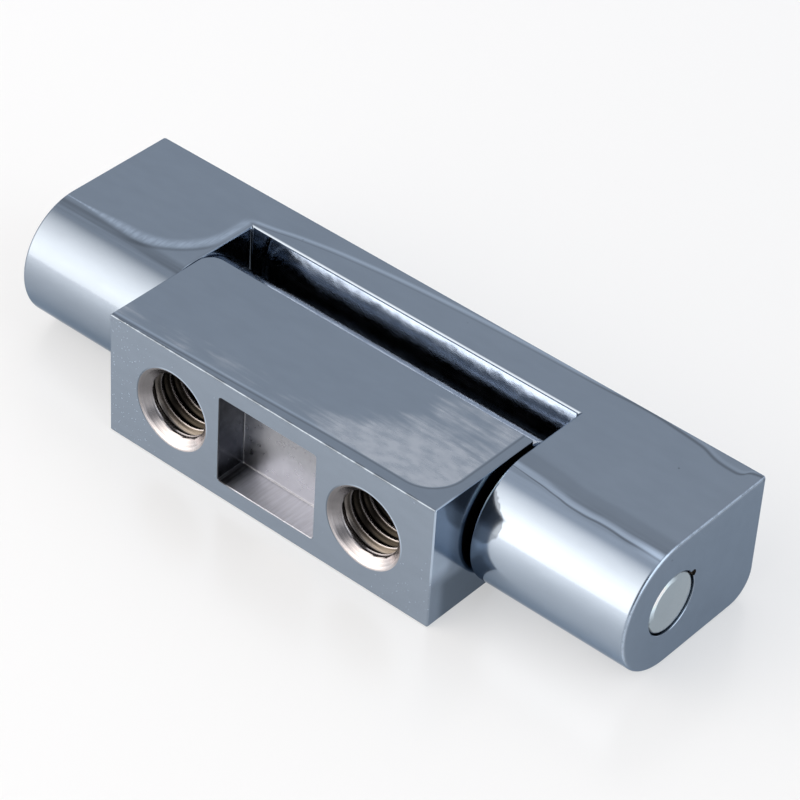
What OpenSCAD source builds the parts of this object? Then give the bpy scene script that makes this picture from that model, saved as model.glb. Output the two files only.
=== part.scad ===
// Cabinet hinge in die-cast metal. A frame leaf with a notch carries a door leaf on one through pin.
// Lengths are in millimetres. X runs along the pin, Y from the door side to the frame side, Z up.
// Each piece is drawn about the pin axis, and the hinge then stands on Z = 0, centred over the origin.

/* [Overall] */
// Length of the hinge along its pin
overall_length = 75; // [66:1:110]
// Thickness of both leaves, and diameter of the barrel
body_thickness = 14; // [13:0.5:20]
// Distance from the pin axis to the mounting face of the frame leaf
frame_reach = 13; // [12:0.5:20]
// Distance from the pin axis to the mounting face of the door leaf
door_reach = 11.6; // [11:0.1:18]
// Radius that polishing leaves on the outer edges
edge_r = 0.4; // [0.2:0.1:0.8]

/* [Frame leaf] */
// Width of the notch that takes the door leaf
notch_width = 40.8; // [38:0.2:44]
// Shift of the notch from the middle of the length
notch_offset = -0.6; // [-2:0.1:2]
// Space left between the swinging corner of the door leaf and the back wall of the notch
swing_gap = 0.8; // [0.5:0.1:1.5]
// Radius along the lower back edge
lower_back_r = 3; // [1:0.5:5]
// Distance between the two threaded holes in the back
frame_hole_spacing = 56; // [54:0.5:60]

/* [Door leaf] */
// Play between the door leaf and the cheeks, on both sides together
side_play = 0.6; // [0.4:0.1:1.2]
// Part of the play that lies on the left at rest
left_play = 0.1; // [0.1:0.05:0.3]
// How far the flat top and bottom reach behind the pin axis
flat_overhang = 2.1; // [1:0.1:3]
// Radius that buffing leaves on the back left corner of the flats
buffed_corner_r = 1.8; // [0.8:0.1:2]
// How far the round knuckle lies below the flats
knuckle_step = 0.15; // [0.1:0.05:0.5]
// Distance between the two threaded holes in the front
door_hole_spacing = 24; // [22:0.5:28]

/* [Threaded holes] */
// Nominal diameter of the thread
thread_d = 8; // [6:1:8]
// Pitch of the thread
thread_pitch = 1.25; // [1:0.05:1.5]
// Diameter of the countersunk mouth over that of the thread
mouth_extra = 0.7; // [0.2:0.1:1]
// Depth of the blind holes
hole_depth = 6.4; // [5:0.2:6.4]

/* [Pocket] */
// Width of the cored pocket between the holes
pocket_width = 12; // [8:0.5:12.5]
// Height of the pocket
pocket_height = 10; // [6:0.5:11]
// Depth of the pocket
pocket_depth = 3.5; // [1:0.5:5]
// Radius in the upright corners of the pocket
pocket_corner_r = 0.3; // [0.2:0.1:1]

/* [Pin] */
// Diameter of the hinge pin
pin_d = 6.5; // [5:0.1:7]
// Gap between the pin and its bore, on the radius
bore_gap = 0.05; // [0.02:0.01:0.1]
// How far each end of the pin lies below the end face
pin_recess = 0.2; // [0.1:0.1:1]
// Radius round the rim of each pin end
pin_end_r = 0.8; // [0.3:0.1:1.5]
// Width of the chamfer round each mouth of the pin bore
bore_chamfer = 0.3; // [0.2:0.1:0.6]

/* [Hidden] */
$fn = 128;

// Cuts run this far past the face that they start from
cut_past = 1;
// The bridge runs this far into each cheek
bridge_root = 2;

end_x = overall_length / 2;
half_t = body_thickness / 2;
frame_mid_y = (door_reach - frame_reach) / 2;

notch_left = notch_offset - notch_width / 2;
notch_right = notch_offset + notch_width / 2;
door_left = notch_left + left_play;
door_right = notch_right - (side_play - left_play);
door_mid = (door_left + door_right) / 2;

// The flats end in a corner, and the notch is as deep as that corner's sweep needs
corner_sweep = sqrt(half_t * half_t + flat_overhang * flat_overhang);
notch_wall_y = corner_sweep + swing_gap;
knuckle_r = half_t - knuckle_step;

// The lower back edge is round as far as the bridge has room for it
bridge_t = frame_reach - notch_wall_y;
lower_r = min(lower_back_r, bridge_t - 2 * edge_r);
lower_back_y = frame_reach - lower_r;
lower_back_z = lower_r - half_t;

bore_r = pin_d / 2 + bore_gap;
tap_r = (thread_d - thread_pitch + 0.05) / 2;
mouth_r = (thread_d + mouth_extra) / 2;
mouth_depth = mouth_r - tap_r;

// Rectangle with true round corners, from corner a to corner b
module round_rect(a, b, r) {
  translate([a[0] + r, a[1]]) square([b[0] - a[0] - 2 * r, b[1] - a[1]]);
  translate([a[0], a[1] + r]) square([b[0] - a[0], b[1] - a[1] - 2 * r]);
  for (x = [a[0] + r, b[0] - r])
    for (y = [a[1] + r, b[1] - r])
      translate([x, y]) circle(r = r);
}

// Draws in the X-Y plane and extrudes along Z from z0 to z1
module along_z(z0, z1) {
  translate([0, 0, z0]) linear_extrude(z1 - z0) children();
}

// Draws in the X-Z plane and extrudes along Y from y0 to y1
module along_y(y0, y1) {
  translate([0, y1, 0]) rotate([90, 0, 0]) linear_extrude(y1 - y0) children();
}

// Draws in the Y-Z plane and extrudes along X from x0 to x1
module along_x(x0, x1) {
  translate([x0, 0, 0]) rotate([90, 0, 90]) linear_extrude(x1 - x0) children();
}

// Round bar along X whose two rims are rounded
module rimmed_bar(x0, x1, r, rim) {
  rotate([0, 90, 0])
    rotate_extrude() {
      translate([0, x0]) square([r - rim, x1 - x0]);
      translate([0, x0 + rim]) square([r, x1 - x0 - 2 * rim]);
      for (x = [x0 + rim, x1 - rim])
        translate([r - rim, x]) circle(r = rim);
    }
}

// Block with all its edges rounded, between two opposite corners
module round_block(a, b, r) {
  intersection() {
    along_z(a[2], b[2]) round_rect([a[0], a[1]], [b[0], b[1]], r);
    along_y(a[1], b[1]) round_rect([a[0], a[2]], [b[0], b[2]], r);
    along_x(a[0], b[0]) round_rect([a[1], a[2]], [b[1], b[2]], r);
  }
}

// One end of the frame leaf: barrel in front, flat top and bottom, upright back with a round lower edge
module cheek(x0, x1) {
  rimmed_bar(x0, x1, half_t, edge_r);
  along_y(0, lower_back_y) round_rect([x0, -half_t], [x1, half_t], edge_r);
  translate([0, lower_back_y, lower_back_z]) rimmed_bar(x0, x1, lower_r, edge_r);
  round_block([x0, 0, lower_back_z - edge_r], [x1, frame_reach, half_t], edge_r);
}

// Bar behind the notch that joins the two cheeks, with the same back as theirs
module bridge(x0, x1) {
  along_x(x0, x1) {
    round_rect([notch_wall_y, -half_t], [lower_back_y + edge_r, half_t], edge_r);
    intersection() {
      translate([lower_back_y, lower_back_z]) circle(r = lower_r);
      translate([lower_back_y - edge_r, -half_t]) square([lower_r + edge_r, lower_r]);
    }
    round_rect([notch_wall_y, lower_back_z - edge_r], [frame_reach, half_t], edge_r);
  }
}

// Blind hole for a screw, drilled from y = 0 along +Y, with a countersunk mouth
module threaded_hole() {
  rotate([-90, 0, 0]) {
    translate([0, 0, -cut_past]) cylinder(r = tap_r, h = hole_depth + cut_past);
    cylinder(r1 = mouth_r, r2 = tap_r, h = mouth_depth);
    translate([0, 0, -cut_past]) cylinder(r = mouth_r, h = cut_past);
  }
}

// Bore for the pin from x0 to x1, with a chamfer at the ends that are asked for
module pin_bore(x0, x1, left_mouth, right_mouth) {
  rotate([0, 90, 0]) {
    translate([0, 0, x0 - cut_past]) cylinder(r = bore_r, h = x1 - x0 + 2 * cut_past);
    if (left_mouth)
      translate([0, 0, x0]) cylinder(r1 = bore_r + bore_chamfer, r2 = bore_r, h = bore_chamfer);
    if (right_mouth)
      translate([0, 0, x1 - bore_chamfer]) cylinder(r1 = bore_r, r2 = bore_r + bore_chamfer, h = bore_chamfer);
  }
}

// Puts a piece that is drawn about the pin axis where it lies in the hinge
module at_pin() {
  translate([0, frame_mid_y, half_t]) children();
}

module frame_leaf() {
  color([0.72, 0.76, 0.80]) at_pin()
    difference() {
      union() {
        cheek(-end_x, notch_left);
        cheek(notch_right, end_x);
        bridge(notch_left - bridge_root, notch_right + bridge_root);
      }
      pin_bore(-end_x, end_x, true, true);
      for (side = [-1, 1])
        translate([side * frame_hole_spacing / 2, frame_reach, 0]) mirror([0, 1, 0]) threaded_hole();
    }
}

// Seen from above, the flats of the door leaf have one corner that buffing has rounded
module flats_plan() {
  x = door_left + buffed_corner_r;
  y = flat_overhang - buffed_corner_r;
  translate([x, y]) circle(r = buffed_corner_r);
  translate([door_left - cut_past, -door_reach - cut_past])
    square([door_right - door_left + 2 * cut_past, door_reach + y + cut_past]);
  translate([x, -door_reach]) square([door_right - x + cut_past, door_reach + flat_overhang + cut_past]);
}

module door_leaf() {
  color([0.66, 0.71, 0.76]) at_pin()
    difference() {
      union() {
        rimmed_bar(door_left, door_right, knuckle_r, edge_r);
        intersection() {
          round_block([door_left, -door_reach, -half_t], [door_right, flat_overhang, half_t], edge_r);
          along_z(-half_t - cut_past, half_t + cut_past) flats_plan();
        }
      }
      pin_bore(door_left, door_right, false, false);
      for (side = [-1, 1])
        translate([door_mid + side * door_hole_spacing / 2, -door_reach, 0]) threaded_hole();
      along_y(-door_reach - cut_past, pocket_depth - door_reach)
        round_rect([door_mid - pocket_width / 2, -pocket_height / 2],
                   [door_mid + pocket_width / 2, pocket_height / 2], pocket_corner_r);
    }
}

module hinge_pin() {
  color([0.80, 0.80, 0.78]) at_pin()
    rimmed_bar(pin_recess - end_x, end_x - pin_recess, pin_d / 2, pin_end_r);
}

frame_leaf();
door_leaf();
hinge_pin();
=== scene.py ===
import math

import bmesh
import bpy
from mathutils import Matrix, Vector


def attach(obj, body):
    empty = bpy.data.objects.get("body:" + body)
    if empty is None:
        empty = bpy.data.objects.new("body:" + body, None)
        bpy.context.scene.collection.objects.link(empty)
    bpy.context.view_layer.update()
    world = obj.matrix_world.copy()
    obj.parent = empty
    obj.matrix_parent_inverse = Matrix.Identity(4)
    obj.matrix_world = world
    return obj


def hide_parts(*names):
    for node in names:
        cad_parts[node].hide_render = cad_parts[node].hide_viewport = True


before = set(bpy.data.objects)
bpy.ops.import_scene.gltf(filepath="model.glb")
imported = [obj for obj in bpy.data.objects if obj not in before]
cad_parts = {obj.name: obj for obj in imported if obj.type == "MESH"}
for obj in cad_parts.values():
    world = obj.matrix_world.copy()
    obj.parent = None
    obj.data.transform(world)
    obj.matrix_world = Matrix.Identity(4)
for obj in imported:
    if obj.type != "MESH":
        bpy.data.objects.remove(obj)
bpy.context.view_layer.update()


# ---- Camera ----
# The photograph looks down on the right front corner of the hinge with a long lens.
# Position, direction and lens come from the corners of the castings in the picture.

CAMERA_PLACE = (0.15649, -0.19086, 0.20945)
CAMERA_RIGHT = Vector((0.75458, 0.65416, 0.05182))
CAMERA_DOWN = Vector((0.44423, -0.45110, -0.77406))
CAMERA_AHEAD = Vector((-0.48298, 0.60711, -0.63099))


def put_in_scene(name, data):
    thing = bpy.data.objects.new(name, data)
    bpy.context.scene.collection.objects.link(thing)
    return thing


lens = bpy.data.cameras.new("long_lens")
lens.lens = 152.49
lens.sensor_width = 36
lens.clip_start = 0.01
lens.clip_end = 20
camera = put_in_scene("camera", lens)
camera_axes = Matrix((CAMERA_RIGHT, -CAMERA_DOWN, -CAMERA_AHEAD)).transposed().to_4x4()
camera.matrix_world = Matrix.Translation(CAMERA_PLACE) @ camera_axes
bpy.context.scene.camera = camera


# ---- Frame leaf ----
# One die casting in zinc alloy with a barrel front, a flat top and an upright back, notched for the door
# leaf. Buffed and chrome plated. Drilled through for the pin, and tapped twice in the back for screws.

# Sizes are in millimetres about the pin axis, and this is where the axis lies in the hinge
PIN_AXIS = Vector((0, -0.7, 7))
HALF_LENGTH = 37.5
HALF_THICKNESS = 7.0
FRAME_REACH = 13.0
NOTCH_WALL = 8.108
NOTCH_ENDS = (-21.0, 19.8)
LOWER_BACK_RADIUS = 3.0
FRAME_EDGE_RADIUS = 0.35
# Tools start this far outside the face that they cut
CUT_PAST = 1.0
BORE_RADIUS = 3.3
BORE_CHAMFER = 0.06
CHIP_PLACE = (HALF_LENGTH, 2.84, 1.78)
BACK_HOLES = (-28.0, 28.0)
THREAD_PITCH = 1.25
THREAD_CREST = 3.4
THREAD_ROOT = 4.0
HOLE_MOUTH = 4.35
HOLE_DEPTH = 6.4


def add_piece(name, bm):
    # millimetres about the pin axis become metres in the hinge
    bmesh.ops.recalc_face_normals(bm, faces=bm.faces)
    bmesh.ops.translate(bm, verts=bm.verts, vec=PIN_AXIS)
    bmesh.ops.scale(bm, verts=bm.verts, vec=(0.001, 0.001, 0.001))
    mesh = bpy.data.meshes.new(name)
    bm.to_mesh(mesh)
    bm.free()
    return put_in_scene(name, mesh)


def arc(centre, radius, start, end, steps):
    # points on a round from start to end, in degrees
    angles = [math.radians(start + (end - start) * i / steps) for i in range(steps + 1)]
    return [(centre[0] + radius * math.cos(a), centre[1] + radius * math.sin(a)) for a in angles]


def join_rows(bm, row, next_row):
    # a strip of faces between two rows of equal count
    for i in range(len(row) - 1):
        bm.faces.new((row[i], row[i + 1], next_row[i + 1], next_row[i]))


def join_rings(bm, ring, next_ring):
    join_rows(bm, ring + ring[:1], next_ring + next_ring[:1])


def skin_rings(bm, rings):
    # a tube through rings of equal count, with both ends shut
    loops = [[bm.verts.new(p) for p in ring] for ring in rings]
    for loop, next_loop in zip(loops, loops[1:]):
        join_rings(bm, loop, next_loop)
    bm.faces.new(loops[0])
    bm.faces.new(loops[-1])


def turn_along_x(profile, steps=96):
    # lathe work: profile is a list of (x, radius)
    angles = [2 * math.pi * i / steps for i in range(steps)]
    bm = bmesh.new()
    skin_rings(bm, [[(x, r * math.cos(a), r * math.sin(a)) for a in angles] for x, r in profile])
    return bm


def break_edges(bm, radius):
    # rounds off every edge where two faces meet at more than the least angle
    least = math.radians(40)
    bmesh.ops.recalc_face_normals(bm, faces=bm.faces)
    bm.normal_update()
    sharp = [edge for edge in bm.edges if edge.calc_face_angle(0) > least]
    bmesh.ops.bevel(
        bm, geom=sharp, offset=radius, offset_type="OFFSET", segments=5, profile=0.5,
        affect="EDGES", clamp_overlap=True, material=0)


def apply_step(piece):
    # the mesh becomes what the piece's modifier makes of it
    bpy.context.view_layer.update()
    graph = bpy.context.evaluated_depsgraph_get()
    mesh = bpy.data.meshes.new_from_object(piece.evaluated_get(graph))
    piece.modifiers.clear()
    old = piece.data
    piece.data = mesh
    bpy.data.meshes.remove(old)


def join_or_cut(piece, tool, operation):
    # machining: the tool's own material comes along on the faces that it makes
    step = piece.modifiers.new("machining", "BOOLEAN")
    step.operation = operation
    step.solver = "EXACT"
    step.material_mode = "TRANSFER"
    step.object = tool
    apply_step(piece)
    bpy.data.objects.remove(tool)


def drill(piece, tool, material):
    # cuts with the tool, and the walls that it leaves show this material
    tool.data.materials.append(material)
    join_or_cut(piece, tool, "DIFFERENCE")


def polish(piece):
    # smooth faces, sharp where two faces meet at more than the crease angle
    crease = math.radians(32)
    bm = bmesh.new()
    bm.from_mesh(piece.data)
    for face in bm.faces:
        face.smooth = True
    for edge in bm.edges:
        edge.smooth = len(edge.link_faces) == 2 and edge.calc_face_angle(0) < crease
    bm.to_mesh(piece.data)
    bm.free()
    step = piece.modifiers.new("flat faces stay flat", "WEIGHTED_NORMAL")
    step.keep_sharp = True
    step.weight = 50
    apply_step(piece)


def cast_frame_leaf():
    # the front outline runs round the barrel from the head of the notch wall to its foot,
    # and the back outline goes on from there, up to the head again
    barrel = arc((0, 0), HALF_THICKNESS, 90, 270, 72)
    front = [(NOTCH_WALL, HALF_THICKNESS)] + barrel + [(NOTCH_WALL, -HALF_THICKNESS)]
    lower_centre = (FRAME_REACH - LOWER_BACK_RADIUS, LOWER_BACK_RADIUS - HALF_THICKNESS)
    back = arc(lower_centre, LOWER_BACK_RADIUS, -90, 0, 16) + [(FRAME_REACH, HALF_THICKNESS)]
    bm = bmesh.new()
    stations = (-HALF_LENGTH, *NOTCH_ENDS, HALF_LENGTH)
    fronts = [[bm.verts.new((x, y, z)) for y, z in front] for x in stations]
    backs = []
    for x, f in zip(stations, fronts):
        backs.append([f[-1]] + [bm.verts.new((x, y, z)) for y, z in back] + [f[0]])
    for s in range(3):
        # the middle stretch is the notch, which has no barrel
        if s != 1:
            join_rows(bm, fronts[s], fronts[s + 1])
        join_rows(bm, backs[s], backs[s + 1])
    for s in (0, 3):
        bm.faces.new(fronts[s] + backs[s][1:-1])
    for s in (1, 2):
        bm.faces.new(fronts[s])
    notch_wall = bm.faces.new((fronts[1][0], fronts[1][-1], fronts[2][-1], fronts[2][0]))
    notch_wall.material_index = 1
    break_edges(bm, FRAME_EDGE_RADIUS)
    return add_piece("frame_casting", bm)


def tap_drill(x, y, inward):
    # blind hole with a countersunk mouth and a right-hand thread, cut from y towards +Y or -Y
    bm = bmesh.new()
    steps = 80
    # the wall has a row of points at each of these shares of a turn
    shares = (0, 0.06, 0.12, 0.2, 0.29, 0.38, 0.47, 0.56, 0.64, 0.72, 0.81, 0.9)
    rows_per_turn = len(shares)
    crest_share = 0.12
    rim = 0.12
    past_rim = 0.08
    # the thread starts below the rim, and is full deep only after its first turn
    wall_start = 0.3
    run_in_start = 0.75
    run_in = 1.1
    base = wall_start - THREAD_PITCH
    rows = rows_per_turn * (2 + math.ceil((HOLE_DEPTH - base) / THREAD_PITCH))

    def groove(phase):
        # narrow crest, then a rounded groove
        if phase <= crest_share:
            return 0.0
        return math.sin(math.pi * (phase - crest_share) / (1 - crest_share)) ** 0.8

    def point(i, s, r):
        # seen from the mouth the thread goes in clockwise
        a = 2 * math.pi * i / steps
        return (x + inward * r * math.cos(a), y + inward * s, r * math.sin(a))

    def wall(i, s):
        phase = ((s - base) / THREAD_PITCH - i / steps) % 1.0
        depth = min(1.0, max(0.0, (s - run_in_start) / run_in))
        thread = THREAD_CREST + (THREAD_ROOT - THREAD_CREST) * groove(phase) * depth
        return max(thread, HOLE_MOUTH - s)

    def ring(s, radius):
        return [bm.verts.new(point(i, s, radius)) for i in range(steps)]

    outer = ring(-CUT_PAST, HOLE_MOUTH + past_rim)
    lip = ring(0.0, HOLE_MOUTH + past_rim)
    mouth = ring(rim, HOLE_MOUTH - rim)
    start = ring(wall_start, HOLE_MOUTH - wall_start)
    bottom = [bm.verts.new(point(i, HOLE_DEPTH, wall(i, HOLE_DEPTH))) for i in range(steps)]
    grid = {}
    for i in range(steps):
        for j in range(rows):
            s = base + THREAD_PITCH * (j // rows_per_turn + shares[j % rows_per_turn] + i / steps)
            if s <= wall_start + 1e-4:
                grid[i, j] = start[i]
            elif s >= HOLE_DEPTH - 1e-4:
                grid[i, j] = bottom[i]
            else:
                grid[i, j] = bm.verts.new(point(i, s, wall(i, s)))
    for i in range(steps):
        for j in range(rows - 1 - rows_per_turn):
            if i + 1 < steps:
                quad = (grid[i, j], grid[i + 1, j], grid[i + 1, j + 1], grid[i, j + 1])
            else:
                # after a full round the rows join those of the next turn
                k = j + rows_per_turn
                quad = (grid[i, j], grid[0, k], grid[0, k + 1], grid[i, j + 1])
            corners = [v for n, v in enumerate(quad) if v not in quad[:n]]
            if len(corners) > 2:
                bm.faces.new(corners)
    for a, b in ((outer, lip), (lip, mouth), (mouth, start)):
        join_rings(bm, a, b)
    bm.faces.new(outer)
    bm.faces.new(bottom)
    return add_piece("tap", bm)


class Amount:
    # a number that changes over a surface: arithmetic on it adds nodes to the surface's material
    def __init__(self, socket):
        self.socket = socket

    def __add__(self, other):
        return calc("ADD", self, other)

    def __sub__(self, other):
        return calc("SUBTRACT", self, other)

    def __rsub__(self, other):
        return calc("SUBTRACT", other, self)

    def __mul__(self, other):
        return calc("MULTIPLY", self, other)

    def __truediv__(self, other):
        return calc("DIVIDE", self, other)

    def __abs__(self):
        return calc("ABSOLUTE", self)

    __radd__ = __add__
    __rmul__ = __mul__


def feed(slot, value):
    # a socket takes a fixed value, or what another node gives
    if isinstance(value, Amount):
        value = value.socket
    if isinstance(value, bpy.types.NodeSocket):
        slot.id_data.links.new(value, slot)
    else:
        slot.default_value = value


def calc(operation, *values):
    tree = next(value.socket.id_data for value in values if isinstance(value, Amount))
    node = tree.nodes.new("ShaderNodeMath")
    node.operation = operation
    for slot, value in zip(node.inputs, values):
        feed(slot, value)
    return Amount(node.outputs[0])


def vector_node(tree, operation, *values):
    node = tree.nodes.new("ShaderNodeVectorMath")
    node.operation = operation
    for slot, value in zip(node.inputs, values):
        feed(slot, value)
    return node


def larger(a, b):
    return calc("MAXIMUM", a, b)


def distance(a, b):
    return calc("SQRT", a * a + b * b)


def along_axes(vector):
    split = vector.id_data.nodes.new("ShaderNodeSeparateXYZ")
    feed(split.inputs[0], vector)
    return [Amount(socket) for socket in split.outputs]


def new_surface(name):
    # a metal with one shader, and the spot on it in millimetres about the pin axis, whole and as x, y and z
    material = bpy.data.materials.new(name)
    material.use_nodes = True
    tree = material.node_tree
    shader = tree.nodes["Principled BSDF"]
    shader.inputs["Metallic"].default_value = 1.0
    place = tree.nodes.new("ShaderNodeTexCoord").outputs["Object"]
    millimetres = vector_node(tree, "MULTIPLY", place, (1000, 1000, 1000)).outputs["Vector"]
    spot = vector_node(tree, "SUBTRACT", millimetres, PIN_AXIS).outputs["Vector"]
    return material, shader, spot, along_axes(spot)


def noise(spot, size, stretch=(1, 1, 1), detail=2.0):
    # size is the width of one blotch in millimetres
    squeezed = vector_node(spot.id_data, "MULTIPLY", spot, [1 / s for s in stretch]).outputs["Vector"]
    cloud = spot.id_data.nodes.new("ShaderNodeTexNoise")
    cloud.inputs["Scale"].default_value = 1 / size
    cloud.inputs["Detail"].default_value = detail
    feed(cloud.inputs["Vector"], squeezed)
    return Amount(cloud.outputs["Fac"])


def fade(value, start, end, low=0.0, high=1.0):
    # soft step from low to high while the value goes from start to end
    if start > end:
        start, end, low, high = end, start, high, low
    node = value.socket.id_data.nodes.new("ShaderNodeMapRange")
    node.interpolation_type = "SMOOTHSTEP"
    feed(node.inputs["Value"], value)
    for slot, number in (("From Min", start), ("From Max", end), ("To Min", low), ("To Max", high)):
        feed(node.inputs[slot], number)
    return Amount(node.outputs["Result"])


def stripe(value, middle, half_width):
    # 1 on the middle line and 0 beyond the half width
    return fade(abs(value - middle) / half_width, 1.0, 0.0)


def line_over_x(x, points):
    # a line drawn through points (x, y) in millimetres, read off at x
    x0, x1 = points[0][0], points[-1][0]
    y0, y1 = min(p[1] for p in points), max(p[1] for p in points)
    node = x.socket.id_data.nodes.new("ShaderNodeFloatCurve")
    curve = node.mapping.curves[0]
    scaled = [((px - x0) / (x1 - x0), (py - y0) / (y1 - y0)) for px, py in points]
    curve.points[0].location = scaled[0]
    curve.points[1].location = scaled[-1]
    for spot in scaled[1:-1]:
        curve.points.new(*spot)
    node.mapping.update()
    feed(node.inputs["Value"], (x - x0) / (x1 - x0))
    return Amount(node.outputs["Value"]) * (y1 - y0) + y0


def past_round_corner(x, y, corner_x, corner_y, radius):
    # distance outside a region that ends at corner_x on the right and at corner_y in front,
    # with a round corner between the two
    across = larger(x - (corner_x - radius), 0.0)
    in_front = larger(corner_y + radius - y, 0.0)
    return distance(across, in_front) - radius


def degrees_round_pin(y, z):
    # 0 in front of the pin axis, 90 above it
    return calc("ARCTAN2", z, y * -1.0) * math.degrees(1)


def two_tone(amount, first, second):
    # from the first colour at 0 to the second at 1
    ramp = amount.socket.id_data.nodes.new("ShaderNodeValToRGB")
    ramp.color_ramp.elements[0].color = first
    ramp.color_ramp.elements[1].color = second
    feed(ramp.inputs["Fac"], amount)
    return ramp.outputs["Color"]


def mixed(amount, first, second):
    # like two_tone, where the first colour may itself change over the surface
    mix = amount.socket.id_data.nodes.new("ShaderNodeMix")
    mix.data_type = "RGBA"
    feed(mix.inputs["A"], first)
    feed(mix.inputs["B"], second)
    feed(mix.inputs["Factor"], amount)
    return mix.outputs["Result"]


def lit_by(colour, amount):
    # the colour times the amount
    node = vector_node(amount.socket.id_data, "SCALE", colour)
    feed(node.inputs["Scale"], amount)
    return node.outputs["Vector"]


def dress(shader, colour, roughness):
    feed(shader.inputs["Base Color"], colour)
    feed(shader.inputs["Roughness"], roughness)


def ripple(shader, height, metres):
    # shallow waves that only bend what the metal mirrors
    bump = shader.id_data.nodes.new("ShaderNodeBump")
    bump.inputs["Strength"].default_value = 1.0
    bump.inputs["Distance"].default_value = metres
    feed(bump.inputs["Height"], height)
    feed(shader.inputs["Normal"], bump.outputs["Normal"])


def plate(shader, spot, brightness, roughness, dull=None):
    # chrome plate: grey-blue, with the brightness and roughness that the marks on it give
    tint = two_tone(noise(spot, 16.0, detail=3.0), (0.240, 0.287, 0.350, 1), (0.260, 0.307, 0.370, 1))
    haze = noise(spot, 1.3, (2.5, 1, 1), 5.0) * 0.12 + 0.94
    colour = lit_by(tint, brightness * haze)
    if dull is not None:
        colour = mixed(dull, colour, (0.50, 0.535, 0.59, 1))
    dress(shader, colour, roughness)
    shader.inputs["Specular Tint"].default_value = (0.5, 0.56, 0.64, 1)
    ripple(shader, noise(spot, 11.0, detail=1.0), 0.00004)


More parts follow.
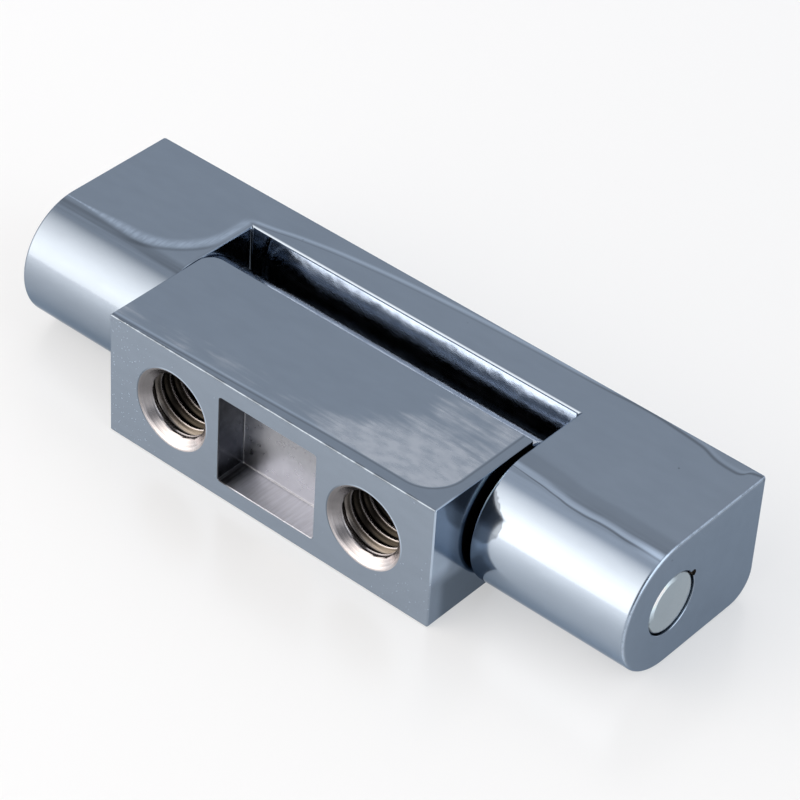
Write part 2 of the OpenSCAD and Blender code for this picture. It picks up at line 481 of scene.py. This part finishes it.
def frame_chrome():
    # buffed plate: each mark is 1 in its middle and 0 outside, and the brightness below says what it does.
    # Places are in millimetres about the pin axis, and angles in degrees round it
    material, shader, spot, (x, y, z) = new_surface("frame_chrome")
    on_top = fade(z, 6.4, 6.8)
    left_side = fade(x, -19.0, -20.5)
    right_side = fade(x, 18.5, 19.5) * fade(x, 37.4, 37.2)
    right_barrel = right_side * fade(y, 2.5, 0.0)
    # the end face is painted slightly darker, as shade
    end_face = fade(x, 37.2, 37.45)

    # beside the left end of the notch, where the top is dished, a painted highlight with fine hatching and a
    # painted shade line stand for the dish
    dish = past_round_corner(x, y, -21.5, -0.9, 7.0)
    dish_end = on_top * fade(x, -21.0, -21.6) * fade(y, 9.2, 7.6)
    hatching = fade(noise(spot, 0.2, (1, 8, 1), 3.0), 0.3, 0.7, 0.6, 1.15)
    painted_dish_highlight = stripe(dish, 0.0, fade(x, -36.5, -27.0, 0.14, 1.05)) * dish_end * hatching
    painted_dish_shade = stripe(dish, 0.85, 0.4) * dish_end * fade(x, -31.0, -27.0)

    # the top rolls off along the back, on a line that wanders away from the notch, shown by a painted highlight
    # band and a painted shade line
    roll = y - line_over_x(x, (
        (-22.0, 8.3), (-19.8, 8.7), (-15.9, 9.7), (-10.3, 10.7), (-0.8, 11.7), (8.4, 12.2), (19.0, 12.5),
        (24.5, 12.8), (27.4, 12.6), (30.7, 12.25), (35.1, 11.4), (36.2, 12.3), (37.5, 12.7)))
    behind_notch = on_top * fade(x, -21.8, -20.8)
    painted_roll_highlight = stripe(roll, 0.32, 0.42) * behind_notch * fade(x, 30.0, 12.0, 0.35, 1.0)
    painted_roll_shade = stripe(roll, -0.12, fade(x, 14.0, 26.0, 0.16, 0.32)) * behind_notch
    painted_roll_shade = painted_roll_shade * fade(x, 10.0, 26.0, 0.4, 1.0)

    # the barrels have streaks along the pin; the left one has a painted shade band, and the right one a painted
    # dark line where two passes of the wheel meet, with painted highlight bands beside and below it, painted
    # shade above it and a painted highlight on its upper front
    angle = degrees_round_pin(y, z)
    wander = noise(spot, 5.0, (1.6, 1, 1), 3.0)
    painted_left_barrel_shade = stripe(angle + (wander * 5.0 - 2.5), 74.5, 8.0) * left_side
    streaks = noise(spot, 0.45, (40, 1, 1), 3.0) - 0.5
    streaks = streaks * stripe(angle, 73.0, 12.0) * larger(left_side, right_side)
    seam = angle - line_over_x(x, (
        (19.0, 75.5), (23.0, 73.6), (25.5, 71.3), (28.6, 69.3), (31.0, 70.3), (33.4, 69.4), (35.3, 69.4),
        (37.5, 69.0)))
    painted_seam_shade = stripe(seam + (wander * 2.0 - 1.0), 0.0, fade(x, 22.0, 30.0, 0.7, 1.8)) * right_side
    painted_seam_highlight = stripe(seam, 2.6, 5.0) * right_side
    painted_seam_end_highlight = fade(x, 33.5, 37.0) * stripe(seam, 1.5, 7.0) * right_side
    painted_shade_above_seam = fade(seam, 5.0, 8.0) * fade(seam, 24.0, 18.0) * right_side
    painted_highlight_below_seam = fade(seam, 2.0, -4.0) * right_barrel
    painted_upper_front_highlight = stripe(angle, 62.0, 16.0) * right_barrel

    # scattered pits in the plate
    cells = material.node_tree.nodes.new("ShaderNodeTexVoronoi")
    cells.inputs["Scale"].default_value = 0.28
    feed(cells.inputs["Vector"], spot)
    pit = fade(Amount(cells.outputs["Distance"]), 0.035, 0.015)

    # painted highlight as fine bright lines along the rims, and painted shade in a corner of the notch
    patchy = fade(noise(spot, 0.6, detail=3.0), 0.35, 0.6, 0.6, 1.0)
    painted_end_rim_highlight = stripe(x, 37.38, 0.13) * fade(z, -5.0, -2.0) * patchy
    painted_inner_rim_highlight = stripe(x, 19.95, 0.17) * stripe(angle, 48.0, 42.0)
    rim = larger(painted_end_rim_highlight * 0.55, painted_inner_rim_highlight * 2.0)
    painted_notch_corner_shade = stripe(x, -20.85, 0.45) * stripe(y, 7.95, 0.45) * fade(z, 6.6, 6.3)

    # a painted reflection of the dark gap, with a ragged edge, on the right barrel beside the gap where the
    # door leaf turns
    painted_reflection_reach = stripe(angle, 28.0, 33.0) * 2.8 + 19.9
    ragged = noise(spot, 0.9, detail=5.0) * 1.4 - 0.7
    painted_gap_reflection = fade(x + ragged - painted_reflection_reach, 0.12, -0.12) * fade(angle, 9.0, 14.0) * right_barrel

    brightness = (
        1.0 + 0.62 * painted_dish_highlight - 0.28 * painted_dish_shade + 0.5 * painted_roll_highlight - 0.42 * painted_roll_shade
        - 0.3 * painted_left_barrel_shade + 0.9 * streaks + 0.6 * painted_seam_highlight - 0.75 * painted_seam_shade + 0.9 * painted_seam_end_highlight
        - 0.14 * painted_shade_above_seam + 0.24 * painted_highlight_below_seam + 0.2 * painted_upper_front_highlight + 1.6 * rim - 0.75 * painted_notch_corner_shade
        - 0.6 * painted_gap_reflection - 0.5 * pit - 0.08 * end_face)
    plate(shader, spot, brightness, 0.09 + 0.06 * noise(spot, 7.0) + 0.4 * rim)
    return material


def unbuffed_plate():
    # inside the notch no buffing wheel reaches, so the plate keeps the grain of the casting
    material, shader, spot, (x, y, z) = new_surface("unbuffed_plate")
    grain = noise(spot, 2.0, detail=4.0)
    tint = two_tone(grain, (0.56, 0.60, 0.66, 1), (0.62, 0.67, 0.74, 1))
    # painted highlight along the top of the wall, with painted shade below it, and the painted band is wider
    # towards the right
    height = z + (noise(spot, 0.5, (7, 1, 1), 3.0) * 0.9 - 0.45)
    height = height + fade(x, -18.0, -14.0, 0.0, 0.45) + fade(x, -2.0, 10.0, 0.0, 0.4)
    level = fade(height, 4.6, 5.9, -0.62, 0.25) + 0.3 * stripe(height, 3.7, 0.6)
    on_wall = fade(y, 7.9, 8.05)
    dress(shader, lit_by(tint, level * on_wall + 1.0), fade(grain, 0.2, 0.8, 0.07, 0.17))
    ripple(shader, noise(spot, 3.3), 0.00006)
    return material


def cut_metal(name, hole_centres):
    # bare zinc where drill and tap cut through the plate, with painted light: bright below, painted shade
    # above, and dirt with painted shade in the grooves
    material, shader, spot, (x, y, z) = new_surface(name)
    left, right = hole_centres
    radius = distance(calc("MINIMUM", abs(x - left), abs(x - right)), z)
    # both mounting faces lie equally far from the middle of the hinge
    middle_y = -PIN_AXIS.y
    depth = FRAME_REACH - middle_y - abs(y - middle_y)
    dirt_and_groove_shade = fade(radius, 3.43, 3.55) * fade(depth, 0.9, 3.0)
    blotch = noise(spot, 1.6, detail=3.0)
    height = z + (blotch * 2.4 - 1.2)
    # the drill's edge has left fine rings
    down_the_hole = material.node_tree.nodes.new("ShaderNodeCombineXYZ")
    feed(down_the_hole.inputs["X"], depth)
    rings = noise(down_the_hole.outputs["Vector"], 0.13) - 0.5
    # painted light low in the hole, and painted shade higher up and in the dirty grooves
    light = fade(height, -3.6, 0.6, 0.52, 0.19)
    light = light * (1.0 + rings * fade(height, -3.0, 0.0, 1.3, 0.3)) * (1.0 - 0.92 * dirt_and_groove_shade)
    tint = mixed(dirt_and_groove_shade, (0.99, 0.95, 0.98, 1), (1.0, 0.86, 0.70, 1))
    dress(shader, lit_by(tint, light), blotch * 0.12 + 0.2)
    return material


chrome = frame_chrome()
notch_plate = unbuffed_plate()
back_zinc = cut_metal("back_hole_zinc", BACK_HOLES)

frame_leaf = cast_frame_leaf()
frame_leaf.data.materials.append(chrome)
frame_leaf.data.materials.append(notch_plate)

bore_mouth = BORE_RADIUS + BORE_CHAMFER
bore_right = [
    (HALF_LENGTH - BORE_CHAMFER, BORE_RADIUS), (HALF_LENGTH, bore_mouth), (HALF_LENGTH + CUT_PAST, bore_mouth)]
bore_left = [(-x, r) for x, r in reversed(bore_right)]
drill(frame_leaf, add_piece("pin_drill", turn_along_x(bore_left + bore_right)), chrome)
# the hammer has chipped the mouth of the bore once, above and behind the pin
chip = turn_along_x([(-0.4, 0.05), (-0.3, 0.24), (-0.1, 0.41), (0.1, 0.45), (0.3, 0.45)], steps=16)
bmesh.ops.translate(chip, verts=chip.verts, vec=CHIP_PLACE)
drill(frame_leaf, add_piece("chip", chip), back_zinc)
for x in BACK_HOLES:
    drill(frame_leaf, tap_drill(x, FRAME_REACH, -1), back_zinc)
polish(frame_leaf)
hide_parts("frame_leaf")
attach(frame_leaf, "frame")


# ---- Door leaf ----
# One die casting like the frame leaf: a block with a round knuckle behind, which fills the notch with a
# little play. The front has two countersunk threaded holes and, between them, a cored pocket that saves metal.

DOOR_REACH = 11.6
DOOR_ENDS = (-20.9, 19.3)
DOOR_MIDDLE = -0.8
DOOR_EDGE_RADIUS = 0.17
FLAT_OVERHANG = 2.1
BUFFED_CORNER = 1.8
KNUCKLE_RADIUS = 6.85
KNUCKLE_RIM = 0.35
HOLE_FROM_MIDDLE = 12.0
FRONT_HOLES = (DOOR_MIDDLE - HOLE_FROM_MIDDLE, DOOR_MIDDLE + HOLE_FROM_MIDDLE)
POCKET_HALF_WIDTH = 6.0
POCKET_HALF_HEIGHT = 5.0
POCKET_DEPTH = 3.5
POCKET_CORNER = 0.3
POCKET_FILLET = 0.2
POCKET_FLARE = 0.06


def cast_door_leaf(block_plate, knuckle_plate):
    left, right = DOOR_ENDS
    corner = arc((left + BUFFED_CORNER, FLAT_OVERHANG - BUFFED_CORNER), BUFFED_CORNER, 90, 180, 10)
    plan = [(left, -DOOR_REACH), (right, -DOOR_REACH), (right, FLAT_OVERHANG)] + corner
    bm = bmesh.new()
    skin_rings(bm, [[(x, y, z) for x, y in plan] for z in (-HALF_THICKNESS, HALF_THICKNESS)])
    break_edges(bm, DOOR_EDGE_RADIUS)
    block = add_piece("door_casting", bm)
    block.data.materials.append(block_plate)
    rim_centre = KNUCKLE_RADIUS - KNUCKLE_RIM
    profile = arc((left + KNUCKLE_RIM, rim_centre), KNUCKLE_RIM, 180, 90, 5)
    profile += arc((right - KNUCKLE_RIM, rim_centre), KNUCKLE_RIM, 90, 0, 5)
    knuckle = add_piece("knuckle", turn_along_x(profile, steps=144))
    knuckle.data.materials.append(knuckle_plate)
    join_or_cut(block, knuckle, "UNION")
    return block


def pocket_core():
    # the core leaves upright walls with a small fillet at the bottom and a slightly flared mouth
    sections = [(-CUT_PAST, POCKET_FLARE), (0.0, POCKET_FLARE), (0.08, 0.0)]
    sections += arc((POCKET_DEPTH - POCKET_FILLET, -POCKET_FILLET), POCKET_FILLET, 90, 0, 5)
    corners = []
    for side, level, start in ((1, 1, 0), (-1, 1, 90), (-1, -1, 180), (1, -1, 270)):
        centre_x = DOOR_MIDDLE + side * (POCKET_HALF_WIDTH - POCKET_CORNER)
        corners.append((centre_x, level * (POCKET_HALF_HEIGHT - POCKET_CORNER), start))
    rings = []
    for depth, grow in sections:
        ring = []
        for centre_x, centre_z, start in corners:
            for x, z in arc((centre_x, centre_z), POCKET_CORNER + grow, start, start + 90, 5):
                ring.append((x, depth - DOOR_REACH, z))
        rings.append(ring)
    bm = bmesh.new()
    skin_rings(bm, rings)
    return add_piece("core", bm)


def cored_plate():
    # the left wall and the corners carry painted shade, the lower part and the right of the lower wall painted
    # light, the back is softly grained, and the lower wall dragged by the core
    material, shader, spot, (x, y, z) = new_surface("cored_plate")
    normal = material.node_tree.nodes.new("ShaderNodeTexCoord").outputs["Normal"]
    facing_x, _, facing_z = along_axes(normal)
    on_left = fade(facing_x, 0.5, 0.8)
    on_low = fade(facing_z, 0.5, 0.8)
    in_corner = larger(stripe(facing_x, 0.6, 0.38), stripe(facing_z, 0.6, 0.38))
    grain = noise(spot, 0.7, detail=4.0)
    drag = noise(spot, 0.22, (1, 14, 1), 2.0)
    # painted shade on the left wall, in the corners and on the lower wall's left; painted light lower down and
    # on the lower wall's right
    level = 0.32 + 0.10 * grain - 0.30 * on_left - 0.22 * in_corner + 0.12 * fade(z, 4.0, -3.0)
    level = level + on_low * (0.3 * drag + 0.68 * fade(x, -6.3, -4.0) - 0.56 * on_low)
    level = level - 0.09 * fade(x, -4.8, -2.0)
    roughness = 0.17 + 0.27 * grain + 0.12 * on_low - 0.1 * on_left + 0.3 * in_corner
    dress(shader, lit_by((0.96, 0.99, 1.09), larger(level, 0.06)), roughness)
    return material


def door_chrome():
    # the same buffed plate, with more handling marks than the frame leaf has
    material, shader, spot, (x, y, z) = new_surface("door_chrome")
    nodes = material.node_tree.nodes
    on_top = fade(z, 6.75, 6.95)
    on_front = fade(y, -11.45, -11.55)
    on_side = fade(x, 19.12, 19.22)

    # the wheel has rolled off the front and right edges of the top, which shows as a painted shade line along
    # them and a painted highlight line just inside
    front_line = line_over_x(x, ((-21.0, -11.25), (-12.0, -11.0), (0.0, -10.6), (8.0, -10.35), (19.3, -10.3)))
    roll = past_round_corner(x, y, 18.2, front_line, 3.6)
    painted_roll_line_shade = stripe(roll, 0.1, 0.2) * on_top
    painted_rolled_edge_shade = fade(roll, 0.0, 0.25) * on_top
    painted_inner_line_highlight = stripe(roll, -0.22, 0.25) * on_top * fade(x, 12.0, 4.0)

    # the right end of the top is scuffed dull along the hinge
    cloud = noise(spot, 2.4, (2.0, 1, 1), 6.0)
    scrape = noise(spot, 0.5, (10, 1, 1), 3.0)
    reach = fade(x, 1.0, 12.0, -0.55, 0.5) + fade(y, -10.3, -1.5, 0.45, -0.45)
    patches = noise(spot, 0.9, (1.8, 1, 1), 8.0) * 1.8 - 0.1
    scuff = fade(reach + 0.9 * cloud + 0.7 * scrape, 0.62, 1.2) * patches
    scuff = scuff * fade(roll, 0.05, -0.2) * on_top

    # small bright nicks on the front, most of them near its left end: one in a few cells of a ragged grid
    tear = nodes.new("ShaderNodeTexNoise")
    tear.inputs["Scale"].default_value = 2.5
    feed(tear.inputs["Vector"], spot)
    torn = vector_node(material.node_tree, "MULTIPLY_ADD", tear.outputs["Color"], (0.6, 0.6, 0.6), spot)
    cells = nodes.new("ShaderNodeTexVoronoi")
    cells.inputs["Scale"].default_value = 2.8
    feed(cells.inputs["Vector"], torn.outputs["Vector"])
    luck = nodes.new("ShaderNodeSeparateColor")
    feed(luck.inputs["Color"], cells.outputs["Color"])
    crowd = larger(fade(x, -13.5, -18.5), fade(x, 12.0, 15.0) * fade(z, 2.0, -4.0, 0.0, 0.6))
    chosen = calc("GREATER_THAN", crowd * 0.65 + Amount(luck.outputs["Red"]), 0.97)
    nick_size = Amount(luck.outputs["Green"]) * 0.28 + 0.08
    nick = fade(Amount(cells.outputs["Distance"]) / nick_size, 1.0, 0.4) * chosen * on_front

    # the front edge of the top is chipped here and there, which breaks its shine
    front_edge = fade(y, -11.4, -11.46) * fade(z, 6.8, 6.86)
    chips_and_painted_shade = front_edge * fade(noise(spot, 0.8, (1.6, 1, 1), 3.0), 0.4, 0.65)

    # painted reflections on the right side: painted shade towards the barrel and a painted highlight along the
    # front corner
    painted_side_highlight = fade(y, -8.0, -9.8) * fade(z, -2.5, -0.5) * on_side
    painted_side_shade = fade(y, -10.6, -9.2) * fade(z, -2.0, -3.2) * on_side

    # round each countersink rim a painted highlight at the upper right and painted shade on the left
    across = x - DOOR_MIDDLE
    hole_x = (abs(across) - HOLE_FROM_MIDDLE) * calc("SIGN", across)
    countersink_rim_band = stripe(distance(hole_x, z), 4.49, 0.13) * on_front
    painted_countersink_highlight = countersink_rim_band * fade(0.6 * hole_x + 0.8 * z, 1.5, 3.5)
    painted_countersink_shade = countersink_rim_band * fade(hole_x, -2.5, -4.0)
    # and one dark dent sits on the rim of the left hole
    dent = fade(distance(x + 16.25, z + 2.25) + 0.3 * scrape, 0.62, 0.3) * on_front

    brightness = (
        1.0 - 0.3 * painted_roll_line_shade - 0.08 * painted_rolled_edge_shade + 0.32 * painted_inner_line_highlight + 0.75 * nick - 0.4 * chips_and_painted_shade
        + 0.8 * painted_side_highlight - 0.42 * painted_side_shade + 0.9 * painted_countersink_highlight - 0.5 * painted_countersink_shade - 0.6 * dent)
    roughness = 0.09 + 0.06 * noise(spot, 7.0) + 0.22 * scuff + 0.3 * nick
    plate(shader, spot, brightness, roughness, dull=scuff)
    return material


door_leaf = cast_door_leaf(door_chrome(), notch_plate)
door_bore = [(DOOR_ENDS[0] - CUT_PAST, BORE_RADIUS), (DOOR_ENDS[1] + CUT_PAST, BORE_RADIUS)]
drill(door_leaf, add_piece("bore", turn_along_x(door_bore)), chrome)
drill(door_leaf, pocket_core(), cored_plate())
front_zinc = cut_metal("front_hole_zinc", FRONT_HOLES)
for x in FRONT_HOLES:
    drill(door_leaf, tap_drill(x, -DOOR_REACH, 1), front_zinc)
polish(door_leaf)
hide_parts("door_leaf")
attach(door_leaf, "door")


# ---- Hinge pin ----
# A plain round steel pin, cut to length and tumbled, driven through both leaves.
# Its ends are slightly domed and lie just inside the mouths of the bore.

PIN_RADIUS = 3.25
PIN_END = 37.47
PIN_RIM = 0.32
# How far the dome has dropped at each radius from the middle of the end to its rim
PIN_DOME = ((0.0, 0.02), (0.01, 0.7), (0.03, 1.4), (0.06, 2.1), (0.09, 2.6), (0.12, PIN_RADIUS - PIN_RIM))


def pin_profile():
    half = [(PIN_END - drop, radius) for drop, radius in PIN_DOME]
    rim_x, rim_radius = half[-1]
    half += arc((rim_x - PIN_RIM, rim_radius), PIN_RIM, 0, 90, 6)[1:]
    return [(-x, r) for x, r in half] + [(x, r) for x, r in reversed(half)]


def tumbled_steel():
    # a painted highlight on the upper front rim of the ends, and painted shade with chips round the rest of the
    # rim
    material, shader, spot, (x, y, z) = new_surface("tumbled_steel")
    grain = noise(spot, 0.8, detail=4.0)
    tint = two_tone(noise(spot, 3.0), (0.29, 0.345, 0.39, 1), (0.33, 0.39, 0.43, 1))
    radius = distance(y, z)
    on_end = fade(abs(x), 37.0, 37.2)
    painted_crescent_highlight = stripe(degrees_round_pin(y, z), 46.0, 62.0) * fade(radius + 0.25 * grain, 2.5, 2.72) * on_end
    chips_and_painted_shade = fade(radius + 0.6 * grain, 3.26, 3.4) * on_end * (1.0 - painted_crescent_highlight)
    dress(shader, lit_by(tint, 1.0 + 2.6 * painted_crescent_highlight - 0.7 * chips_and_painted_shade), grain * 0.12 + 0.12)
    ripple(shader, grain, 0.00003)
    return material


pin = add_piece("pin", turn_along_x(pin_profile()))
pin.data.materials.append(tumbled_steel())
polish(pin)
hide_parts("hinge_pin")
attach(pin, "frame")


# ---- Studio ----
# A smooth pale table in an evenly lit grey-blue room.
# One large soft light stands on the table at the front left, and makes the broad shine on the barrels.

# Metres. The table lies a hair below the hinge, so that the two don't share a face
TABLE_TOP = -0.00003
TABLE_HALF_WIDTH = 3
LIGHT_RADIUS = 0.5
LIGHT_DISTANCE = 0.38
LIGHT_COLOUR = (3.15, 2.8, 2.42)
LIGHT_RIM_COLOUR = (0.62, 0.64, 0.68)
ROOM_COLOUR = (0.64, 0.66, 0.70)
BACK_WINDOW_COLOUR = (0.10, 0.10, 0.10)
RIGHT_WINDOW_COLOUR = (1.6, 1.65, 1.7)


def towards(azimuth, elevation):
    # azimuth 0 is behind the hinge (+Y), 90 is to its right (+X)
    a, e = math.radians(azimuth), math.radians(elevation)
    return Vector((math.sin(a) * math.cos(e), math.cos(a) * math.cos(e), math.sin(e)))


def white_board():
    # half of the board's own white is lit by the room, and the other half glows for the views of it
    board = bpy.data.materials.new("white_board")
    board.use_nodes = True
    shader = board.node_tree.nodes["Principled BSDF"]
    shader.inputs["Roughness"].default_value = 0.25
    shader.inputs["Specular IOR Level"].default_value = 0.9
    shader.inputs["Emission Color"].default_value = (1, 1, 1, 1)
    rays = board.node_tree.nodes.new("ShaderNodeLightPath").outputs
    seen = larger(Amount(rays["Is Glossy Ray"]), Amount(rays["Is Transmission Ray"]))
    seen = larger(Amount(rays["Is Camera Ray"]), seen)
    feed(shader.inputs["Base Color"], mixed(seen, (0.92, 0.92, 0.92, 1), (0.47, 0.47, 0.47, 1)))
    feed(shader.inputs["Emission Strength"], seen * 0.45)
    return board


def soft_light(name, centre, aim, radius, colour, rim_colour):
    # a round cloth lit from behind, brightest in its middle, which only shows in what it lights
    bm = bmesh.new()
    bmesh.ops.create_circle(bm, cap_ends=True, radius=radius, segments=96)
    mesh = bpy.data.meshes.new(name)
    bm.to_mesh(mesh)
    bm.free()
    light = put_in_scene(name, mesh)
    light.location = centre
    light.rotation_euler = (centre - aim).to_track_quat("Z", "Y").to_euler()
    light.visible_camera = False
    cloth = bpy.data.materials.new(name + "_cloth")
    cloth.use_nodes = True
    tree = cloth.node_tree
    tree.nodes.remove(tree.nodes["Principled BSDF"])
    place = tree.nodes.new("ShaderNodeTexCoord").outputs["Object"]
    from_middle = Amount(vector_node(tree, "LENGTH", place).outputs["Value"]) / radius
    ramp = tree.nodes.new("ShaderNodeValToRGB")
    ramp.color_ramp.interpolation = "B_SPLINE"
    ramp.color_ramp.elements[0].color = (1, 1, 1, 1)
    ramp.color_ramp.elements[1].color = (0, 0, 0, 1)
    for where, level in ((0.2, 0.875), (0.4, 0.62), (0.6, 0.40), (0.8, 0.2)):
        ramp.color_ramp.elements.new(where).color = (level, level, level, 1)
    feed(ramp.inputs["Fac"], from_middle)
    glow = vector_node(tree, "MULTIPLY_ADD", ramp.outputs["Color"], colour, rim_colour)
    lamp = tree.nodes.new("ShaderNodeEmission")
    feed(lamp.inputs["Color"], glow.outputs["Vector"])
    feed(tree.nodes["Material Output"].inputs["Surface"], lamp.outputs[0])
    light.data.materials.append(cloth)


def light_room():
    # an even sky with a faint window high at the back left and a bright one low on the right
    room = bpy.data.worlds.new("room")
    room.use_nodes = True
    tree = room.node_tree
    look = tree.nodes.new("ShaderNodeTexCoord").outputs["Generated"]

    def facing(azimuth, elevation):
        # 1 when looking that way, and -1 the other way
        return Amount(vector_node(tree, "DOT_PRODUCT", look, towards(azimuth, elevation)).outputs["Value"])

    near_back = calc("POWER", larger(facing(-38, 38) * 0.5 + 0.5, 0.0), 6.0)
    near_right = fade(facing(86, 22), 0.80, 0.97)
    back_window = lit_by(BACK_WINDOW_COLOUR, near_back)
    right_window = lit_by(RIGHT_WINDOW_COLOUR, near_right)
    windows = vector_node(tree, "ADD", back_window, right_window).outputs["Vector"]
    sky = vector_node(tree, "ADD", windows, ROOM_COLOUR).outputs["Vector"]
    # the side where the camera stands is dark
    sky = lit_by(sky, fade(facing(143, 32), 0.82, 0.93, 1.0, 0.35))
    background = tree.nodes["Background"]
    background.inputs["Strength"].default_value = 1.0
    feed(background.inputs["Color"], sky)
    bpy.context.scene.world = room


table_mesh = bpy.data.meshes.new("table")
w = TABLE_HALF_WIDTH
table_mesh.from_pydata([(x, y, TABLE_TOP) for x, y in ((-w, -w), (w, -w), (w, w), (-w, w))], [], [(0, 1, 2, 3)])
table_mesh.materials.append(white_board())
table = put_in_scene("table", table_mesh)

light_place = towards(-146, 15) * LIGHT_DISTANCE
soft_light("softbox", light_place, Vector((0, 0, 0)), LIGHT_RADIUS, LIGHT_COLOUR, LIGHT_RIM_COLOUR)
light_room()

bpy.context.scene.view_settings.view_transform = "Standard"
